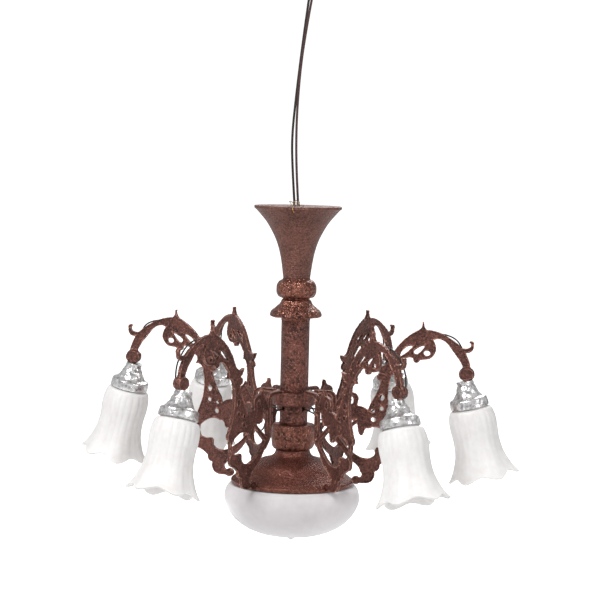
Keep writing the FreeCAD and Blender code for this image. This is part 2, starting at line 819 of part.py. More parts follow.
def make_plug():
    """The two-pin plug at the leads' far end."""
    centre_x, underside = 2.4, 46.0
    block = simple_object(
        "Part::Box", "plug_block",
        Length="sizes.plug_width", Width="sizes.plug_thickness", Height="sizes.plug_height",
    )
    block.setExpression(".Placement.Base.x", f"{centre_x} - sizes.plug_width / 2")
    block.setExpression(".Placement.Base.y", "- sizes.plug_thickness / 2")
    block.Placement.Base.z = underside
    doc.recompute()
    plug = doc.addObject("Part::Fillet", "lead_plug")
    plug.Base = block
    edge_round = 0.6
    plug.Edges = [(index + 1, edge_round, edge_round) for index in range(len(block.Shape.Edges))]
    pieces.append(plug)
    pins = []
    for name, side in (("left", -1), ("right", 1)):
        pin = simple_object(
            "Part::Cylinder", f"pin_{name}", Radius="sizes.pin_radius", Height="sizes.pin_length"
        )
        pin.setExpression(".Placement.Base.x", f"{centre_x} + {side} * sizes.pin_spacing / 2")
        pin.setExpression(".Placement.Base.z", f"{underside} + sizes.plug_height")
        pins.append(pin)
    both = doc.addObject("Part::Compound", "plug_pins")
    both.Links = pins
    pieces.append(both)


# ---------------------------------------------------------------- the whole light


def check_and_write():
    """Stop if any object failed, then write each piece's shape to its own file."""
    for item in doc.Objects:
        if {"Invalid", "Error"} & set(item.State):
            raise ValueError(f"{item.Label} failed: {item.State}")
    os.makedirs("parts", exist_ok=True)
    for piece in pieces:
        if piece.Shape.isNull() or not piece.Shape.isValid():
            raise ValueError(f"{piece.Label} has no valid shape")
        piece.Shape.exportStep(os.path.join("parts", f"{piece.Label}.step"))
        print(f"{piece.Label}: {len(piece.Shape.Solids)} solid(s), {piece.Shape.Volume:.2f} mm3")


fill_sheet()
stack_column()
make_centre_tube()
make_tube_nut()
make_bowl()
make_bowl_bulb()
for arm_label, (arm_azimuth, arm_tilt, shade_lean) in ARM_PLACES.items():
    arm_frame = arm_placement(arm_azimuth, arm_tilt)
    shade_frame = shade_placement(arm_frame, shade_lean)
    make_arm(arm_label, arm_frame)
    make_shade_cap(arm_label, shade_frame)
    make_shade(arm_label, shade_frame)
    make_shade_bulb(arm_label, shade_frame)
    make_lamp_wire(arm_label, arm_azimuth, arm_frame)
make_wire_bundle()
make_lead_joints()
make_wire("lead_left", LEAD_LEFT, SIZES["lead_radius"])
make_wire("lead_right", LEAD_RIGHT, SIZES["lead_radius"])
make_plug()
doc.recompute()
check_and_write()
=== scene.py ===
"""A dolls-house chandelier, dressed over its CAD frame.

The turned column, bowl, caps and shades are spun from half outlines, the openwork arms are
given a raised edge and a cast skin, and every CAD node that stays gets its own finish.
Lengths are in metres unless a name ends in _mm.
"""

import json
import logging
import math
from dataclasses import dataclass, field
from enum import Enum

import bmesh
import bpy
from mathutils import Matrix, Vector, noise


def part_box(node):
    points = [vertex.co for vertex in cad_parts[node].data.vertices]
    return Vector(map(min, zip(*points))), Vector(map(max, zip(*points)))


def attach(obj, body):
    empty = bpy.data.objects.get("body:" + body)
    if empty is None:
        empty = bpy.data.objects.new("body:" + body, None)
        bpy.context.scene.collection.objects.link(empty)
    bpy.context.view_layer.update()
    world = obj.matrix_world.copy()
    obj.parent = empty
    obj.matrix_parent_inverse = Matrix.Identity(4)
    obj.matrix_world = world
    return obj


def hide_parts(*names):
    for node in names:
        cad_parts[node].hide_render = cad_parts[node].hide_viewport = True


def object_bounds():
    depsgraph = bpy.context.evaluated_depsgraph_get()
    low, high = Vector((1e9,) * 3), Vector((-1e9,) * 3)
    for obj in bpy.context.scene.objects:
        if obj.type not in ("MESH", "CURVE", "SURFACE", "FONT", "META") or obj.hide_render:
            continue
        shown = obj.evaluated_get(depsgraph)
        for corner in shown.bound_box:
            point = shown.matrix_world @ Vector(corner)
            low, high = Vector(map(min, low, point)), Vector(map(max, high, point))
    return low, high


MM = 0.001
log = logging.getLogger("chandelier")
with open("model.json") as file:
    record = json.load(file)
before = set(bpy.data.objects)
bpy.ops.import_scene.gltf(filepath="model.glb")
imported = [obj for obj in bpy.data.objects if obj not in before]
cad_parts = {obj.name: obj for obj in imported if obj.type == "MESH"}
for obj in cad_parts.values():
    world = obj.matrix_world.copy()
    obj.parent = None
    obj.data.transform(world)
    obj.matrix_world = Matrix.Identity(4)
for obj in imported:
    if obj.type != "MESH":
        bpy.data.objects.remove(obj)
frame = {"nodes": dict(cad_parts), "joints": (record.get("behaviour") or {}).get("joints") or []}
CAD_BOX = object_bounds()
FIXTURE = "fixture"


class ArmName(Enum):
    """The six arms, named by where they stand seen from the front."""

    RIGHT = "right"
    FRONT_RIGHT = "front_right"
    FRONT_LEFT = "front_left"
    LEFT = "left"
    BACK_LEFT = "back_left"
    BACK_RIGHT = "back_right"


class Look(Enum):
    """How a finish scatters light."""

    SOLID = "solid"
    OPAL = "opal"
    CLEAR = "clear"


# ------------------------------------------------------------------ shader node groups


def new_group(name: str, inputs: dict[str, tuple[str, float | tuple]],
              outputs: dict[str, str]) -> bpy.types.NodeTree:
    """Make an empty shader node group with named sockets.

    Args:
        name: the group's name.
        inputs: socket name to its type and default value.
        outputs: socket name to its type.

    Returns:
        The group, with its input and output nodes in place.
    """
    group = bpy.data.node_groups.new(name, "ShaderNodeTree")
    for socket, (kind, value) in inputs.items():
        made = group.interface.new_socket(socket, in_out="INPUT", socket_type=kind)
        made.default_value = value
    for socket, kind in outputs.items():
        group.interface.new_socket(socket, in_out="OUTPUT", socket_type=kind)
    group.nodes.new("NodeGroupInput").name = "in"
    group.nodes.new("NodeGroupOutput").name = "out"
    return group


def add_math(tree: bpy.types.NodeTree, operation: str, first: object, second: object,
             clamp: bool = False) -> bpy.types.NodeSocket:
    """Add a Math node and return its result.

    Args:
        tree: the tree that gets the node.
        operation: the Math node's operation.
        first: a socket or a number.
        second: a socket or a number.
        clamp: whether the result is kept between 0 and 1.

    Returns:
        The node's output socket.
    """
    node = tree.nodes.new("ShaderNodeMath")
    node.operation, node.use_clamp = operation, clamp
    for socket, value in zip(node.inputs, (first, second)):
        if isinstance(value, bpy.types.NodeSocket):
            tree.links.new(value, socket)
        else:
            socket.default_value = value
    return node.outputs[0]


def add_noise(tree: bpy.types.NodeTree, place: bpy.types.NodeSocket, size: object,
              detail: float = 3.0) -> bpy.types.NodeSocket:
    """Add a Noise texture whose features are size millimetres across.

    Args:
        tree: the tree that gets the node.
        place: the coordinates, in metres.
        size: a socket or a number, in millimetres.
        detail: the texture's detail.

    Returns:
        The texture's factor.
    """
    texture = tree.nodes.new("ShaderNodeTexNoise")
    texture.inputs["Detail"].default_value = detail
    tree.links.new(place, texture.inputs["Vector"])
    tree.links.new(add_math(tree, "DIVIDE", 1 / MM, size), texture.inputs["Scale"])
    return texture.outputs["Fac"]


def add_ramp(tree: bpy.types.NodeTree, value: bpy.types.NodeSocket, low: float,
             high: float) -> bpy.types.NodeSocket:
    """Stretch a factor so that low becomes 0 and high becomes 1.

    Args:
        tree: the tree that gets the node.
        value: the factor.
        low: the value that becomes 0.
        high: the value that becomes 1.

    Returns:
        The stretched factor.
    """
    node = tree.nodes.new("ShaderNodeMapRange")
    node.inputs["From Min"].default_value = low
    node.inputs["From Max"].default_value = high
    tree.links.new(value, node.inputs["Value"])
    return node.outputs["Result"]


def add_mix(tree: bpy.types.NodeTree, factor: bpy.types.NodeSocket, first: object,
            second: object) -> bpy.types.NodeSocket:
    """Mix two colours, each a socket or a value.

    Args:
        tree: the tree that gets the node.
        factor: 0 for the first colour, 1 for the second.
        first: a socket or an RGBA colour.
        second: a socket or an RGBA colour.

    Returns:
        The mixed colour.
    """
    node = tree.nodes.new("ShaderNodeMix")
    node.data_type = "RGBA"
    tree.links.new(factor, node.inputs["Factor"])
    for socket, value in ((node.inputs[6], first), (node.inputs[7], second)):
        if isinstance(value, bpy.types.NodeSocket):
            tree.links.new(value, socket)
        else:
            socket.default_value = value
    return node.outputs[2]


def make_mottle_group() -> bpy.types.NodeTree:
    """Group: a base and a dark colour broken up at two sizes, as in sprayed or cast paint, with
    small spots of painted highlight scattered over them.
    """
    colour, number = "NodeSocketColor", "NodeSocketFloat"
    group = new_group(
        "mottled colour",
        {"Base": (colour, (0.5, 0.5, 0.5, 1)), "Dark": (colour, (0.1, 0.1, 0.1, 1)),
         "Painted highlight": (colour, (0.9, 0.9, 0.9, 1)), "Grain mm": (number, 0.3),
         "Patch mm": (number, 3.0), "Painted highlight amount": (number, 0.5)},
        {"Color": colour, "Painted highlight mask": number},
    )
    source, out = group.nodes["in"].outputs, group.nodes["out"].inputs
    place = group.nodes.new("ShaderNodeTexCoord").outputs["Object"]
    grain = add_noise(group, place, source["Grain mm"], 4.0)
    patch = add_noise(group, place, source["Patch mm"], 2.0)
    dark = add_math(group, "ADD", add_math(group, "MULTIPLY", grain, 0.65),
                    add_math(group, "MULTIPLY", patch, 0.35))
    shaded = add_mix(group, add_ramp(group, dark, 0.36, 0.58), source["Dark"], source["Base"])
    # Small spots of painted highlight, laid by noise where the paint should glint.
    spots = add_noise(group, place, add_math(group, "MULTIPLY", source["Grain mm"], 0.6), 2.0)
    mask = add_math(group, "MULTIPLY", add_ramp(group, spots, 0.56, 0.7), source["Painted highlight amount"], True)
    group.links.new(add_mix(group, mask, shaded, source["Painted highlight"]), out["Color"])
    group.links.new(mask, out["Painted highlight mask"])
    return group


def make_relief_group() -> bpy.types.NodeTree:
    """Group: a height made of cast grain, fine pitting and, if wanted, turning lines."""
    number = "NodeSocketFloat"
    group = new_group(
        "surface relief",
        {"Grain mm": (number, 0.3), "Fine": (number, 0.3), "Turning": (number, 0.0)},
        {"Height": number},
    )
    source = group.nodes["in"].outputs
    place = group.nodes.new("ShaderNodeTexCoord").outputs["Object"]
    coarse = add_noise(group, place, source["Grain mm"], 3.0)
    small = add_math(group, "MULTIPLY", source["Grain mm"], 0.35)
    fine = add_math(group, "MULTIPLY", add_noise(group, place, small, 2.0), source["Fine"])
    rings = group.nodes.new("ShaderNodeTexWave")
    rings.wave_type, rings.bands_direction = "BANDS", "Z"
    rings.inputs["Scale"].default_value = 0.9 / MM
    rings.inputs["Distortion"].default_value = 1.5
    group.links.new(place, rings.inputs["Vector"])
    turned = add_math(group, "MULTIPLY", rings.outputs["Fac"], source["Turning"])
    total = add_math(group, "ADD", add_math(group, "ADD", coarse, fine), turned)
    group.links.new(total, group.nodes["out"].inputs["Height"])
    return group


def make_edge_light_group() -> bpy.types.NodeTree:
    """Group: sharp edges lightened towards the painted highlight colour, and hollows darkened as
    painted shade, both from how sharply the mesh turns.
    """
    colour, number = "NodeSocketColor", "NodeSocketFloat"
    group = new_group(
        "painted edge light and hollow shade",
        {"Color": (colour, (0.5, 0.5, 0.5, 1)), "Edge light": (colour, (0.8, 0.5, 0.3, 1)),
         "Painted hollow shade": (colour, (0.02, 0.01, 0.01, 1)), "Edge and hollow shading": (number, 0.5)},
        {"Color": colour, "Edge light mask": number},
    )
    source, out = group.nodes["in"].outputs, group.nodes["out"].inputs
    bend = group.nodes.new("ShaderNodeNewGeometry").outputs["Pointiness"]
    place = group.nodes.new("ShaderNodeTexCoord").outputs["Object"]
    broken = add_ramp(group, add_noise(group, place, 0.7, 3.0), 0.35, 0.6)
    # Painted highlight along sharp edges, broken up by noise.
    edge = add_math(group, "MULTIPLY", add_ramp(group, bend, 0.505, 0.56), broken)
    mask = add_math(group, "MULTIPLY", edge, source["Edge and hollow shading"], True)
    # Painted shade in the hollows.
    hollow = add_math(group, "MULTIPLY", add_ramp(group, bend, 0.49, 0.42), source["Edge and hollow shading"], True)
    darkened = add_mix(group, hollow, source["Color"], source["Painted hollow shade"])
    group.links.new(add_mix(group, mask, darkened, source["Edge light"]), out["Color"])
    group.links.new(mask, out["Edge light mask"])
    return group


# ------------------------------------------------------------------ finishes

Colour = tuple[float, float, float]


@dataclass(frozen=True)
class Finish:
    """A finish and the record's slot it belongs to.

    Colours are linear; grain, patch and relief sizes are in millimetres. The painted highlight
    colour is laid in small spots and on sharp edges as painted glints of light.
    """

    name: str
    slot: str
    base: Colour
    dark: Colour
    painted_highlight: Colour
    look: Look = Look.SOLID
    grain_mm: float = 0.35
    patch_mm: float = 3.0
    highlight_amount: float = 0.6
    relief_mm: float = 0.06
    fine: float = 0.4
    turning: float = 0.0
    edge_and_hollow_shade: float = 0.0
    metallic: float = 0.0
    roughness: float = 0.5
    roughness_at_highlights: float = 0.3
    translucency: float = 0.0
    sheen: float = 0.0

    def material(self) -> bpy.types.Material:
        """Build the material once, and return it."""
        made = bpy.data.materials.get(self.name)
        if made is not None:
            return made
        made = bpy.data.materials.new(self.name)
        made.use_nodes = True
        tree = made.node_tree
        shader = tree.nodes["Principled BSDF"]
        mottle = self._group(tree, "mottled colour", {
            "Base": (*self.base, 1), "Dark": (*self.dark, 1), "Painted highlight": (*self.painted_highlight, 1),
            "Grain mm": self.grain_mm, "Patch mm": self.patch_mm, "Painted highlight amount": self.highlight_amount})
        colour = mottle.outputs["Color"]
        # Sharp edges take the painted highlight colour, and hollows a painted shade at 0.35 of the
        # dark colour.
        if self.edge_and_hollow_shade > 0:
            edge_light = self._group(tree, "painted edge light and hollow shade", {
                "Edge light": (*self.painted_highlight, 1), "Edge and hollow shading": self.edge_and_hollow_shade,
                "Painted hollow shade": (*(part * 0.35 for part in self.dark), 1)})
            tree.links.new(colour, edge_light.inputs["Color"])
            colour = edge_light.outputs["Color"]
        tree.links.new(colour, shader.inputs["Base Color"])
        gloss = tree.nodes.new("ShaderNodeMapRange")
        gloss.inputs["To Min"].default_value = self.roughness
        gloss.inputs["To Max"].default_value = self.roughness_at_highlights
        tree.links.new(mottle.outputs["Painted highlight mask"], gloss.inputs["Value"])
        tree.links.new(gloss.outputs["Result"], shader.inputs["Roughness"])
        relief = self._group(tree, "surface relief", {
            "Grain mm": self.grain_mm, "Fine": self.fine, "Turning": self.turning})
        bump = tree.nodes.new("ShaderNodeBump")
        bump.inputs["Distance"].default_value = self.relief_mm * MM
        tree.links.new(relief.outputs["Height"], bump.inputs["Height"])
        tree.links.new(bump.outputs["Normal"], shader.inputs["Normal"])
        shader.inputs["Metallic"].default_value = self.metallic
        if self.look is Look.OPAL:
            shader.inputs["Subsurface Weight"].default_value = self.translucency
            shader.inputs["Subsurface Radius"].default_value = (1.0, 0.95, 0.9)
            shader.inputs["Subsurface Scale"].default_value = 1.6 * MM
            shader.inputs["Sheen Weight"].default_value = self.sheen
            shader.inputs["Sheen Roughness"].default_value = 0.45
        elif self.look is Look.CLEAR:
            shader.inputs["Transmission Weight"].default_value = 0.9
            shader.inputs["IOR"].default_value = 1.45
        return made

    def _group(self, tree: bpy.types.NodeTree, name: str,
               values: dict[str, object]) -> bpy.types.Node:
        """Place a shared group in a tree.

        Args:
            tree: the material's tree.
            name: the group's name.
            values: input name to value.

        Returns:
            The group's node.
        """
        node = tree.nodes.new("ShaderNodeGroup")
        node.node_tree = bpy.data.node_groups[name]
        for socket, value in values.items():
            node.inputs[socket].default_value = value
        return node

    def dress(self, piece: bpy.types.Object) -> None:
        """Make this the piece's only material."""
        piece.data.materials.clear()
        piece.data.materials.append(self.material())


COPPER_PAINT = Finish(
    "copper_brown_paint", "body", (0.19, 0.068, 0.05), (0.035, 0.012, 0.009), (0.75, 0.4, 0.31),
    grain_mm=0.5, patch_mm=2.6, relief_mm=0.36, highlight_amount=0.3, metallic=0.6, roughness=0.3,
    roughness_at_highlights=0.24,
)
# A glossier copy of the body paint for the bead, bell and hub; its lighter base, brighter glint
# colour and extra glints are painted highlight.
GLOSSY_LIT_COPPER = Finish(
    "glossy_copper_painted_light", "body", (0.25, 0.092, 0.064), (0.045, 0.015, 0.011),
    (0.85, 0.45, 0.34), grain_mm=0.6, patch_mm=3.0, relief_mm=0.34, highlight_amount=0.4, metallic=0.75,
    roughness=0.28, roughness_at_highlights=0.22,
)
DOME_COPPER = Finish(
    "smooth_copper_paint", "body", (0.185, 0.062, 0.043), (0.075, 0.024, 0.017), (0.62, 0.3, 0.22),
    grain_mm=0.45, patch_mm=6.0, relief_mm=0.2, highlight_amount=0.25, metallic=0.7, roughness=0.26,
    roughness_at_highlights=0.2,
)
TURNED_PAINT = Finish(
    "turned_copper_paint", "body", (0.19, 0.078, 0.058), (0.075, 0.028, 0.021),
    (0.45, 0.23, 0.18), grain_mm=0.4, patch_mm=4.0, relief_mm=0.26, highlight_amount=0.3, turning=0.12,
    metallic=0.5, roughness=0.4, roughness_at_highlights=0.3,
)
ARM_PAINT = Finish(
    "grainy_arm_paint", "arm", (0.145, 0.053, 0.041), (0.034, 0.013, 0.01), (0.6, 0.28, 0.2),
    grain_mm=0.4, relief_mm=0.16, highlight_amount=0.25, edge_and_hollow_shade=0.8, metallic=0.5, roughness=0.38,
    roughness_at_highlights=0.26,
)
CAP_METAL = Finish(
    "bright_cap_metal", "cap", (0.86, 0.85, 0.85), (0.3, 0.29, 0.29), (0.98, 0.975, 0.97),
    grain_mm=0.7, patch_mm=1.8, relief_mm=0.06, highlight_amount=0.6, edge_and_hollow_shade=0.6, metallic=0.85,
    roughness=0.3, roughness_at_highlights=0.16,
)
SHADE_OPAL = Finish(
    "opal_shade", "opal", (0.75, 0.735, 0.725), (0.7, 0.675, 0.665), (0.8, 0.79, 0.785),
    look=Look.OPAL, grain_mm=1.2, patch_mm=5.0, highlight_amount=0.2, relief_mm=0.015, roughness=0.5,
    roughness_at_highlights=0.42, translucency=0.35, sheen=0.3,
)
# The bowl's opal is a darker copy of the shades' opal: painted shade for the bowl under the dome.
SHADED_BOWL_OPAL = Finish(
    "opal_bowl_painted_shade", "opal", (0.62, 0.59, 0.6), (0.58, 0.55, 0.56), (0.66, 0.635, 0.645),
    look=Look.OPAL, grain_mm=1.6, patch_mm=7.0, highlight_amount=0.2, relief_mm=0.02, roughness=0.58,
    roughness_at_highlights=0.5, translucency=0.3, sheen=0.9,
)
BULB_GLASS = Finish(
    "bulb_glass", "bulb", (0.95, 0.94, 0.9), (0.9, 0.88, 0.82), (1.0, 1.0, 1.0),
    look=Look.CLEAR, highlight_amount=0.0, relief_mm=0.003, roughness=0.08, roughness_at_highlights=0.05,
)
PLAIN_BRASS = Finish(
    "plain_brass", "brass", (0.62, 0.4, 0.16), (0.4, 0.24, 0.09), (0.8, 0.6, 0.3),
    grain_mm=0.4, relief_mm=0.01, highlight_amount=0.3, metallic=1.0, roughness=0.3, roughness_at_highlights=0.2,
)
WIRE_SLEEVE = Finish(
    "dark_wire_sleeve", "wire", (0.022, 0.014, 0.012), (0.012, 0.007, 0.006),
    (0.07, 0.05, 0.045), grain_mm=0.5, relief_mm=0.02, highlight_amount=0.3, roughness=0.38,
    roughness_at_highlights=0.28,
)
BROWN_SLEEVE = Finish(
    "brown_wire_sleeve", "wire", (0.055, 0.022, 0.018), (0.03, 0.012, 0.01), (0.12, 0.06, 0.05),
    grain_mm=0.5, relief_mm=0.02, highlight_amount=0.3, roughness=0.38, roughness_at_highlights=0.28,
)
FINE_WIRE = Finish(
    "enamelled_wire", "copper", (0.66, 0.4, 0.14), (0.4, 0.2, 0.06), (0.9, 0.7, 0.4),
    grain_mm=0.3, relief_mm=0.01, highlight_amount=0.3, metallic=1.0, roughness=0.25, roughness_at_highlights=0.15,
)
TINNED = Finish(
    "tinned_stub", "copper", (0.5, 0.49, 0.48), (0.3, 0.29, 0.28), (0.85, 0.84, 0.82),
    grain_mm=0.3, relief_mm=0.03, highlight_amount=0.4, metallic=1.0, roughness=0.3, roughness_at_highlights=0.18,
)


# ------------------------------------------------------------------ shared mesh work


def new_piece(name: str, bm: bmesh.types.BMesh, finish: Finish, body: str,
              *nodes: str) -> bpy.types.Object:
    """Turn a bmesh into a dressed piece that rides on a body.

    Args:
        name: the piece's name.
        bm: the mesh, in place; it is freed.
        finish: the piece's finish.
        body: the body that the piece rides on.
        nodes: the CAD nodes that it stands for.

    Returns:
        The piece.
    """
    mesh = bpy.data.meshes.new(name)
    bm.to_mesh(mesh)
    bm.free()
    mesh.shade_smooth()
    piece = bpy.data.objects.new(name, mesh)
    bpy.context.scene.collection.objects.link(piece)
    finish.dress(piece)
    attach(piece, body)
    if nodes:
        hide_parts(*nodes)
    log.info("%s: %d faces", name, len(mesh.polygons))
    return piece


def spin_outline(outline_mm: list[tuple[float, float]], steps: int,
                 smooth_cuts: int = 0) -> bmesh.types.BMesh:
    """Spin a half outline about Z into a closed shell of revolution.

    Args:
        outline_mm: (radius, height) points, in millimetres.
        steps: how many steps the full turn has.
        smooth_cuts: extra points on each edge of the outline, for later shaping.

    Returns:
        The spun mesh, with its doubles merged.
    """
    bm = bmesh.new()
    line = [bm.verts.new((r * MM, 0, h * MM)) for r, h in outline_mm]
    edges = [bm.edges.new(pair) for pair in zip(line, line[1:])]
    edges.append(bm.edges.new((line[-1], line[0])))
    if smooth_cuts:
        bmesh.ops.subdivide_edges(bm, edges=edges, cuts=smooth_cuts)
    bmesh.ops.spin(bm, geom=bm.verts[:] + bm.edges[:], cent=(0, 0, 0), axis=(0, 0, 1),
                   angle=math.tau, steps=steps, use_merge=True, use_duplicate=False)
    bmesh.ops.remove_doubles(bm, verts=bm.verts[:], dist=1e-7)
    bmesh.ops.recalc_face_normals(bm, faces=bm.faces[:])
    return bm


def soften_rims(bm: bmesh.types.BMesh, width_mm: float, least_turn: float = 0.45) -> None:
    """Bevel every edge that turns more than least_turn radians."""
    sharp = [e for e in bm.edges if len(e.link_faces) == 2 and e.calc_face_angle(0) > least_turn]
    bmesh.ops.bevel(bm, geom=sharp, offset=width_mm * MM, affect="EDGES", segments=3,
                    profile=0.5, material=-1, clamp_overlap=True)


def curve_through(points: list[tuple[float, float]], cuts: int) -> list[tuple[float, float]]:
    """Round a run of outline points into a smooth curve.

    Args:
        points: the points that the curve passes through.
        cuts: how many steps each stretch gets.

    Returns:
        The curve's points, first and last kept.
    """
    padded = [points[0], *points, points[-1]]
    curve = []
    for a, b, c, d in zip(padded, padded[1:], padded[2:], padded[3:]):
        for step in range(cuts):
            t = step / cuts
            curve.append(tuple(
                0.5 * (2 * q + (r - p) * t + (2 * p - 5 * q + 4 * r - s) * t**2
                       + (3 * q - p - 3 * r + s) * t**3)
                for p, q, r, s in zip(a, b, c, d)))
    return [*curve, points[-1]]


def roughen(bm: bmesh.types.BMesh, size_mm: float, depth_mm: float, seed: float) -> None:
    """Push vertices in and out along their normals by a fixed noise.

    Args:
        bm: the mesh.
        size_mm: how far apart the bumps are.
        depth_mm: the most that a vertex moves.
        seed: where in the noise this piece lies.
    """
    bm.normal_update()
    for vert in bm.verts:
        lump = noise.noise(vert.co / (size_mm * MM) + Vector((seed, 0, 0)))
        vert.co += vert.normal * lump * depth_mm * MM


# ------------------------------------------------------------------ studio


@dataclass
class Studio:
    """The camera, the soft light and the pale floor."""

    eye_distance: float = 0.369
    eye_height: float = 0.0116
    eye_side: float = 0.00075
    look_down: float = math.radians(4.634)
    roll: float = math.radians(1.3)
    lens_mm: float = 114.0
    floor_drop: float = 0.03
    floor_reach: float = 3.0
    aim_height: float = -0.035

    def build(self) -> None:
        """Make everything that isn't part of the object."""
        self.place_camera()
        self.light_room()
        self.lay_floor()

    def place_camera(self) -> None:
        """Stand the camera level with the cup's top, looking slightly down."""
        camera = bpy.data.cameras.new("camera")
        camera.lens, camera.sensor_width = self.lens_mm, 36.0
        camera.clip_start, camera.clip_end = 0.01, 20.0
        holder = bpy.data.objects.new("camera", camera)
        bpy.context.scene.collection.objects.link(holder)
        place = Matrix.Translation((self.eye_side, -self.eye_distance, self.eye_height))
        turn = Matrix.Rotation(math.pi / 2 - self.look_down, 4, "X")
        holder.matrix_world = place @ turn @ Matrix.Rotation(self.roll, 4, "Z")
        bpy.context.scene.camera = holder

    def light_room(self) -> None:
        """Add a white surround and three soft lamps."""
        bpy.context.scene.view_settings.view_transform = "Standard"
        world = bpy.data.worlds.new("white_surround")
        world.use_nodes = True
        tree = world.node_tree
        background = tree.nodes["Background"]
        background.inputs["Color"].default_value = (1, 1, 1, 1)
        seen = tree.nodes.new("ShaderNodeLightPath").outputs["Is Camera Ray"]
        strength = add_math(tree, "ADD", add_math(tree, "MULTIPLY", seen, 0.6), 0.46)
        tree.links.new(strength, background.inputs["Strength"])
        bpy.context.scene.world = world
        self._lamp("key", (-0.2, -0.25, 0.31), 0.1, 1.7)
        self._lamp("fill", (0.34, -0.24, 0.1), 0.08, 0.4)
        self._lamp("back", (0.08, 0.32, 0.2), 0.12, 0.5)

    def _lamp(self, name: str, place: tuple[float, float, float], width: float,
              watts: float) -> None:
        """Add one square lamp aimed at the middle of the light."""
        lamp = bpy.data.lights.new(name, "AREA")
        lamp.energy, lamp.size = watts, width
        holder = bpy.data.objects.new(name, lamp)
        aim = Vector((0, 0, self.aim_height)) - Vector(place)
        turn = aim.to_track_quat("-Z", "Y").to_matrix().to_4x4()
        holder.matrix_world = Matrix.Translation(place) @ turn
        bpy.context.scene.collection.objects.link(holder)

    def lay_floor(self) -> None:
        """Lay the pale floor well below the hanging light."""
        bm = bmesh.new()
        bmesh.ops.create_grid(bm, x_segments=1, y_segments=1, size=self.floor_reach)
        bmesh.ops.translate(bm, verts=bm.verts[:], vec=(0, 0, CAD_BOX[0][2] - self.floor_drop))
        mesh = bpy.data.meshes.new("floor")
        bm.to_mesh(mesh)
        bm.free()
        floor = bpy.data.objects.new("floor", mesh)
        bpy.context.scene.collection.objects.link(floor)
        paint = bpy.data.materials.new("pale_floor")
        paint.use_nodes = True
        shader = paint.node_tree.nodes["Principled BSDF"]
        shader.inputs["Base Color"].default_value = (0.9, 0.9, 0.9, 1)
        shader.inputs["Roughness"].default_value = 0.9
        shader.inputs["Emission Color"].default_value = (1, 1, 1, 1)
        seen = paint.node_tree.nodes.new("ShaderNodeLightPath").outputs["Is Camera Ray"]
        glow = add_math(paint.node_tree, "MULTIPLY", seen, 0.85)
        paint.node_tree.links.new(glow, shader.inputs["Emission Strength"])
        self._clear_from_below(paint.node_tree, shader)
        mesh.materials.append(paint)

    def _clear_from_below(self, tree: bpy.types.NodeTree, shader: bpy.types.Node) -> None:
        """Let the floor be seen through from underneath, so that it never hides the light."""
        under = tree.nodes.new("ShaderNodeNewGeometry").outputs["Backfacing"]
        mix = tree.nodes.new("ShaderNodeMixShader")
        clear = tree.nodes.new("ShaderNodeBsdfTransparent")
        for source, target in ((under, 0), (shader.outputs["BSDF"], 1), (clear.outputs["BSDF"], 2)):
            tree.links.new(source, mix.inputs[target])
        tree.links.new(mix.outputs["Shader"], tree.nodes["Material Output"].inputs["Surface"])


# ------------------------------------------------------------------ leads and plug


@dataclass
class Leads:
    """The two insulated leads, pulled straight up, and what is on them."""

    diameter: float = 0.46 * MM
    lengths: tuple[float, float] = (46.2 * MM, 46.3 * MM)
    left_mm: list[tuple[float, float, float]] = field(default_factory=lambda: [
        (-0.80, 0.36, 1.0), (-1.28, 0.34, 7.0), (-1.55, 0.30, 13.2), (-0.95, 0.34, 20.6),
        (-0.25, 0.40, 27.6), (0.45, 0.42, 34.0), (1.30, 0.40, 41.0), (1.95, 0.38, 47.0),
    ])
    right_mm: list[tuple[float, float, float]] = field(default_factory=lambda: [
        (-0.08, -0.36, 1.0), (-0.42, -0.38, 5.6), (-0.68, -0.36, 11.6), (-0.66, -0.38, 18.4),
        (-0.12, -0.42, 27.2), (0.85, -0.40, 34.4), (1.95, -0.38, 41.2), (2.85, -0.38, 47.0),
    ])

    def build(self) -> None:
        """Make the cords, then dress their plug and pins."""
        plug, pins = frame["nodes"]["lead_plug"], frame["nodes"]["plug_pins"]
        routes = (("left", self.left_mm, WIRE_SLEEVE), ("right", self.right_mm, BROWN_SLEEVE))
        for (side, route, sleeve), length in zip(routes, self.lengths):
            cord = self.spline(f"lead_{side}_cord", route)
            sleeve.dress(cord)
            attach(cord, FIXTURE)
            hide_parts(f"lead_{side}")
        WIRE_SLEEVE.dress(plug)
        PLAIN_BRASS.dress(pins)

    def spline(self, name: str, route: list[tuple[float, float, float]]) -> bpy.types.Object:
        """Lay one round cord along a route.

        Args:
            name: the cord's name.
            route: its control points, in millimetres.

        Returns:
            The curve, with its ends capped.
        """
        curve = bpy.data.curves.new(name, "CURVE")
        curve.dimensions, curve.resolution_u = "3D", 16
        curve.bevel_depth, curve.bevel_resolution = self.diameter / 2, 6
        curve.use_fill_caps = True
        line = curve.splines.new("NURBS")
        line.points.add(len(route) - 1)
        for spot, place in zip(line.points, route):
            spot.co = (*(c * MM for c in place), 1)
        line.order_u, line.use_endpoint_u = 3, True
        cord = bpy.data.objects.new(name, curve)
        bpy.context.scene.collection.objects.link(cord)
        return cord


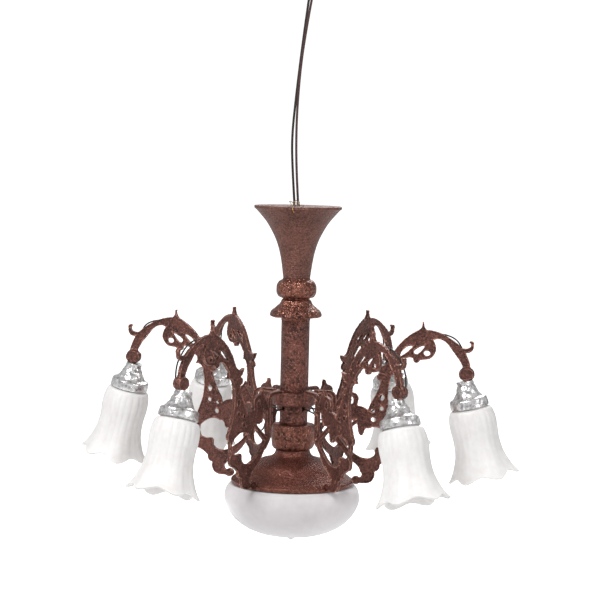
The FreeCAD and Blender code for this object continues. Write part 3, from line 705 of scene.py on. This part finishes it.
@dataclass
class SolderStrands:
    """The fine wire ends around the soldered stubs on the cup's top."""

    radius_mm: float = 0.065
    strands_mm: tuple[tuple[tuple[float, float, float], ...], ...] = (
        ((-0.8, 0.3, 0.4), (-1.3, -1.6, 0.9), (-1.9, -4.2, 1.1), (-1.4, -6.6, 0.7),
         (-1.1, -8.5, 0.3), (-1.0, -8.9, -0.6), (-0.8, -8.5, -1.0)),
        ((-0.5, 0.0, -0.6), (0.1, -0.8, 0.3), (0.3, -0.5, 0.7), (0.1, 0.2, 0.9),
         (-0.5, 0.4, 1.1), (-0.9, 0.1, 1.0), (-0.8, -0.5, 0.7)),
        ((0.1, -0.2, -0.4), (0.4, -1.0, 0.3), (0.1, -1.5, 0.7), (-0.7, -1.4, 0.6),
         (-1.1, -0.8, 0.3)),
    )

    def build(self) -> None:
        """Bend each strand, and give the stubs their tinned finish."""
        for number, strand in enumerate(self.strands_mm, start=1):
            curve = bpy.data.curves.new(f"solder_strand_{number}", "CURVE")
            curve.dimensions, curve.resolution_u = "3D", 10
            curve.bevel_depth, curve.bevel_resolution = self.radius_mm * MM, 3
            curve.use_fill_caps = True
            line = curve.splines.new("NURBS")
            line.points.add(len(strand) - 1)
            for spot, place in zip(line.points, strand):
                spot.co = (*(c * MM for c in place), 1)
            line.order_u, line.use_endpoint_u = 4, True
            piece = bpy.data.objects.new(curve.name, curve)
            bpy.context.scene.collection.objects.link(piece)
            FINE_WIRE.dress(piece)
            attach(piece, FIXTURE)
        TINNED.dress(frame["nodes"]["lead_joints"])


# ------------------------------------------------------------------ turned column


@dataclass(frozen=True)
class TurnedPart:
    """One turned piece: its CAD node, and its half outline above the node's lowest point."""

    node: str
    outline_mm: tuple[tuple[float, float], ...]
    finish: Finish = COPPER_PAINT
    soften_mm: float = 0.12
    lump_mm: float = 0.035

    def build(self) -> None:
        """Spin the outline where the CAD node stands, and give it a slightly uneven skin."""
        bm = spin_outline(list(self.outline_mm), steps=96)
        soften_rims(bm, self.soften_mm)
        long_edges = [e for e in bm.edges if e.calc_length() > 0.7 * MM]
        bmesh.ops.subdivide_edges(bm, edges=long_edges, cuts=3, use_grid_fill=True)
        bmesh.ops.triangulate(bm, faces=[f for f in bm.faces if len(f.verts) > 4])
        roughen(bm, 0.9, self.lump_mm, len(self.node))
        bmesh.ops.translate(bm, verts=bm.verts[:], vec=(0, 0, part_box(self.node)[0][2]))
        new_piece(f"{self.node}_turned", bm, self.finish, FIXTURE, self.node)


@dataclass
class Column:
    """The stack of turned pieces from the ceiling cup to the dome."""

    bore_mm: float = 1.65

    def parts(self) -> list[TurnedPart]:
        """The turned pieces that show, from the ceiling down."""
        bore = self.bore_mm
        cup = curve_through([(2.62, 0), (2.77, 1.2), (3.05, 3.2), (3.45, 5.2), (4.08, 7.2),
                             (5.0, 9.15), (6.23, 11.13), (8.1, 13.3)], 4)
        bead = curve_through([(2.6, 0.0), (2.75, 0.2), (3.45, 0.45), (3.85, 1.15), (3.92, 2.0),
                              (3.8, 2.8), (3.35, 3.5), (2.75, 3.8)], 4)
        bell = curve_through([(4.7, 0.7), (5.0, 0.9), (5.03, 1.35), (4.7, 1.95), (4.0, 2.55),
                              (3.3, 3.15), (3.05, 3.55), (2.9, 3.9), (2.6, 4.2)], 4)
        hub = curve_through([(3.3, 0), (3.95, 0.4), (4.2, 1.3), (4.25, 3.6), (4.1, 4.7),
                             (3.85, 5.0)], 4)
        neck = curve_through([(5.6, 0), (4.35, 0.5), (3.6, 1.1), (3.3, 2.0)], 4)
        dome = curve_through([(12.0, 0.74), (11.07, 1.4), (9.13, 2.6), (7.7, 3.8), (6.0, 4.7)], 4)
        inside = curve_through([(5.7, 4.0), (7.3, 3.1), (8.8, 1.95), (10.4, 1.15),
                                (11.45, 0.85)], 3)
        return [
            TurnedPart("ceiling_cup", ((bore, 0), *cup, (8.53, 13.62), (8.53, 14.1), (bore, 14.1)),
                       TURNED_PAINT, lump_mm=0.02, soften_mm=0.1),
            TurnedPart("column_bead", ((bore, 0), *bead, (2.7, 4.0), (bore, 4.0)), GLOSSY_LIT_COPPER,
                       lump_mm=0.07),
            TurnedPart("bell_flange", ((bore, 0), (2.85, 0), (2.85, 0.7), *bell, (bore, 4.2)),
                       GLOSSY_LIT_COPPER, lump_mm=0.07),
            TurnedPart("upper_column", ((bore, 0), (2.76, 0), (2.76, 13.9), (bore, 13.9))),
            TurnedPart("arm_collar", ((bore, 0), (3.95, 0), (4.2, 0.25), (4.2, 2.45),
                                      (3.95, 2.7), (bore, 2.7))),
            TurnedPart("lower_column", ((bore, 0), (2.73, 0), (2.73, 2.6), (bore, 2.6))),
            TurnedPart("hub", ((bore, 0), *hub, (bore, 5.0)), GLOSSY_LIT_COPPER, lump_mm=0.07),
            TurnedPart("dome_neck", ((bore, 0), *neck, (bore, 2.0)), DOME_COPPER),
            TurnedPart("base_dome", ((11.45, 0), (12.0, 0), *dome, (bore, 4.7), (bore, 4.0),
                                     *inside), DOME_COPPER, lump_mm=0.06),
        ]

    def build(self) -> None:
        """Build the turned pieces and dress the ones that stay hidden inside."""
        for part in self.parts():
            part.build()
        COPPER_PAINT.dress(frame["nodes"]["wire_washer"])
        for node in ("centre_tube", "tube_nut"):
            PLAIN_BRASS.dress(frame["nodes"][node])
        FINE_WIRE.dress(frame["nodes"]["wire_bundle"])


# ------------------------------------------------------------------ bowl


@dataclass
class Bowl:
    """The opal bowl under the dome, with its nub, and the bulb inside it."""

    outside_mm: tuple[tuple[float, float], ...] = (
        (0.9, 1.36), (4.0, 1.3), (6.6, 1.7), (9.3, 2.85), (11.3, 4.4), (12.6, 6.2),
        (13.3, 8.2), (13.0, 10.1), (12.2, 11.15))
    inside_mm: tuple[tuple[float, float], ...] = (
        (10.5, 10.7), (12.0, 10.0), (12.6, 8.2), (11.95, 6.5), (10.8, 5.0), (9.0, 3.65),
        (6.3, 2.5), (0.0, 2.0))
    nub_mm: tuple[tuple[float, float], ...] = ((0.0, 0.0), (0.4, 0.08), (0.72, 0.32), (0.9, 0.75))

    def build(self) -> None:
        """Spin the bowl's wall and nub as one shell."""
        outline = [*self.nub_mm, *curve_through(list(self.outside_mm), 5), (11.2, 11.15),
                   (11.2, 11.95), (10.5, 11.95), *curve_through(list(self.inside_mm), 4)]
        bm = spin_outline(outline, steps=120)
        soften_rims(bm, 0.1)
        bmesh.ops.translate(bm, verts=bm.verts[:], vec=(0, 0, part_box("bowl")[0][2]))
        new_piece("bowl_shell", bm, SHADED_BOWL_OPAL, "bowl", "bowl")
        BULB_GLASS.dress(frame["nodes"]["bowl_bulb"])


# ------------------------------------------------------------------ arms, caps and shades


@dataclass
class Arm:
    """One openwork arm with its lamp wire, cap, shade and bulb."""

    name: ArmName
    rim_inset_mm: float = 0.25
    rim_height_mm: float = 0.28
    voxel_mm: float = 0.1
    cap_height_mm: float = 5.1
    cap_core_mm: float = 1.4
    socket_mm: float = 3.35
    socket_depth_mm: float = 1.3
    boss_reach_mm: float = 3.0
    boss_passes: int = 16
    flutes: int = 22
    bulb_tip_mm: float = 6.0
    wall_mm: float = 0.5
    petals: int = 6
    mouth_drop_mm: float = 13.4

    @property
    def seed(self) -> float:
        """Where in the noise this arm lies, so that no two shades are alike."""
        return float(sum(map(ord, self.name.value)))

    def node(self, kind: str) -> bpy.types.Object:
        """The CAD node of that kind on this arm."""
        return frame["nodes"][f"{kind}_{self.name.value}"]

    def hanging_axis(self) -> Vector:
        """The way that this arm's shade points and pulls off."""
        wanted = f"shade_{self.name.value}_pull"
        joint = next(j for j in frame["joints"] if j["name"] == wanted)
        return Vector(joint["axis"]).normalized()

    def hanging_frame(self) -> Matrix:
        """The cap's rim centre, with local -Z down the shade and local X away from the column."""
        down = self.hanging_axis()
        tip = max((v.co for v in self.node("shade_bulb").data.vertices), key=down.dot)
        origin = tip - down * self.bulb_tip_mm * MM
        up = -down
        across = up.cross(Vector((down.x, down.y, 0)).normalized()).normalized()
        outward = across.cross(up)
        turn = Matrix((outward, across, up)).transposed().to_4x4()
        return Matrix.Translation(origin) @ turn

    def build(self) -> None:
        """Build the arm from its casting down to its shade."""
        self.build_casting()
        self.build_cap()
        self.build_shade()
        BULB_GLASS.dress(self.node("shade_bulb"))
        WIRE_SLEEVE.dress(self.node("lamp_wire"))

    def build_casting(self) -> None:
        """Raise a rim along every edge of the plate, then round it into one cast skin."""
        down = self.hanging_axis()
        across = Vector((-down.y, down.x, 0)).normalized()
        bm = bmesh.new()
        bm.from_mesh(self.node("arm").data)
        bmesh.ops.remove_doubles(bm, verts=bm.verts[:], dist=1e-6)
        flats = [f for f in bm.faces if abs(f.normal.dot(across)) > 0.95]
        bmesh.ops.inset_region(bm, faces=flats, thickness=self.rim_inset_mm * MM,
                               depth=-self.rim_height_mm * MM, use_boundary=True,
                               use_even_offset=True)
        rough = bpy.data.meshes.new("rough_casting")
        bm.to_mesh(rough)
        bm.free()
        holder = bpy.data.objects.new("rough_casting", rough)
        bpy.context.scene.collection.objects.link(holder)
        remesh = holder.modifiers.new("skin", "REMESH")
        remesh.mode, remesh.voxel_size = "VOXEL", self.voxel_mm * MM
        smooth = holder.modifiers.new("soften", "SMOOTH")
        smooth.factor, smooth.iterations = 0.5, 2
        ready = holder.evaluated_get(bpy.context.evaluated_depsgraph_get())
        bm = bmesh.new()
        bm.from_mesh(ready.to_mesh())
        ready.to_mesh_clear()
        bpy.data.objects.remove(holder)
        self.round_boss(bm)
        roughen(bm, 0.55, 0.055, float(len(self.name.value)))
        label = self.name.value
        new_piece(f"arm_{label}_casting", bm, ARM_PAINT, FIXTURE, f"arm_{label}")

    def round_boss(self, bm: bmesh.types.BMesh) -> None:
        """Smooth the flat end boss into a bud, along with the stem just above it."""
        neck = self.hanging_frame() @ Vector((0, 0, self.cap_height_mm * MM))
        near = [v for v in bm.verts if (v.co - neck).length < self.boss_reach_mm * MM]
        for _ in range(self.boss_passes):
            bmesh.ops.smooth_vert(bm, verts=near, factor=0.5, use_axis_x=True, use_axis_y=True,
                                  use_axis_z=True)

    def build_cap(self) -> None:
        """Spin the cap, dent it into uneven folds and tilt it onto the shade's axis.

        The dents stop at the socket's wall, so that the shade's neck still slides in it.
        """
        outside = [(3.35, 0.0), (3.78, 0.02), (3.8, 0.5), (3.7, 1.55),
                   *curve_through([(3.5, 1.75), (2.9, 2.05), (2.35, 2.9), (2.1, 3.6),
                                   (1.75, 4.3)], 3),
                   (1.7, self.cap_height_mm), (0.0, self.cap_height_mm)]
        inside = [(0.0, 4.15), (1.15, 4.15), (1.15, 2.9), (2.3, 1.8), (2.6, 1.3), (3.35, 1.3)]
        bm = spin_outline([*outside, *inside], steps=80, smooth_cuts=3)
        for vert in bm.verts:
            radius = math.hypot(vert.co.x, vert.co.y)
            if radius < self.cap_core_mm * MM:
                continue
            turn = math.atan2(vert.co.y, vert.co.x)
            height = vert.co.z / (self.cap_height_mm * MM)
            crumple = noise.noise(vert.co / (1.7 * MM) + Vector((self.seed, 0, 0)))
            crease = 1 - abs(noise.noise(vert.co / (1.3 * MM) + Vector((self.seed, 3, 0))))
            pull = (0.3 * max(0.0, crumple) + 0.2 * crease**4) * min(1.0, 0.35 + height) * MM
            if vert.co.z < (self.socket_depth_mm + 0.01) * MM:
                pull = min(pull, max(0.0, radius - self.socket_mm * MM))
            vert.co.x -= pull * math.cos(turn)
            vert.co.y -= pull * math.sin(turn)
        soften_rims(bm, 0.05, least_turn=0.7)
        bmesh.ops.transform(bm, matrix=self.hanging_frame(), verts=bm.verts[:])
        label = self.name.value
        new_piece(f"shade_cap_{label}_cast", bm, CAP_METAL, FIXTURE, f"shade_cap_{label}")

    def build_shade(self) -> None:
        """Spin the tulip, flare its rim into petals, and give it its wall."""
        curve = curve_through(
            [(3.2, -0.25), (3.75, -0.35), (4.2, -0.8), (4.55, -2.2), (4.6, -4.0), (4.42, -6.5),
             (4.6, -9.0), (5.2, -11.0), (5.8, -12.4), (6.5, -self.mouth_drop_mm)], 5)
        bm = bmesh.new()
        line = [bm.verts.new((r * MM, 0, h * MM)) for r, h in [(3.2, 1.15), *curve]]
        for pair in zip(line, line[1:]):
            bm.edges.new(pair)
        bmesh.ops.spin(bm, geom=bm.verts[:] + bm.edges[:], cent=(0, 0, 0), axis=(0, 0, 1),
                       angle=math.tau, steps=198, use_merge=True, use_duplicate=False)
        bmesh.ops.remove_doubles(bm, verts=bm.verts[:], dist=1e-7)
        for vert in bm.verts:
            self.flare(vert)
        bmesh.ops.recalc_face_normals(bm, faces=bm.faces[:])
        skin = bm.faces[:]
        if sum(f.normal.dot(Vector((f.calc_center_median().x, f.calc_center_median().y, 0)))
               for f in skin) < 0:
            bmesh.ops.reverse_faces(bm, faces=skin)
        bmesh.ops.solidify(bm, geom=skin, thickness=self.wall_mm * MM)
        bmesh.ops.recalc_face_normals(bm, faces=bm.faces[:])
        soften_rims(bm, 0.1, least_turn=0.9)
        bmesh.ops.transform(bm, matrix=self.hanging_frame(), verts=bm.verts[:])
        label = self.name.value
        new_piece(f"shade_{label}_tulip", bm, SHADE_OPAL, f"shade_{label}", f"shade_{label}")

    def flare(self, vert: bmesh.types.BMVert) -> None:
        """Move one point of the tulip's skin: faint flutes above, scalloped petals at the mouth."""
        turn = math.atan2(vert.co.y, vert.co.x)
        along = min(max(-vert.co.z / (self.mouth_drop_mm * MM), 0.0), 1.0)
        drift = noise.noise(Vector((math.cos(turn), math.sin(turn), self.seed)))
        petal = math.cos(self.petals * turn + 0.5 * drift)
        mouth = max(0.0, (along - 0.5) / 0.5) ** 2
        fine = 0.5 + 0.5 * math.cos(self.flutes * turn + 3 * drift)
        groove = 0.1 * fine**2 * min(1.0, 8 * along) * (1 - 0.75 * along)
        fold = 0.2 * petal * max(0.0, (along - 0.3) / 0.7)
        radius = math.hypot(vert.co.x, vert.co.y)
        scale = 1 + 0.05 * petal * mouth + (fold - groove) * MM / radius
        vert.co.x *= scale
        vert.co.y *= scale
        vert.co.z -= (0.42 * petal + 0.4 * drift) * mouth * MM


def main() -> None:
    """Build the studio, the cords and then the light from the ceiling down."""
    logging.basicConfig(level=logging.INFO, format="%(message)s")
    make_mottle_group()
    make_relief_group()
    make_edge_light_group()
    Studio().build()
    Leads().build()
    SolderStrands().build()
    Column().build()
    Bowl().build()
    for name in ArmName:
        Arm(name).build()


if __name__ == "__main__":
    main()
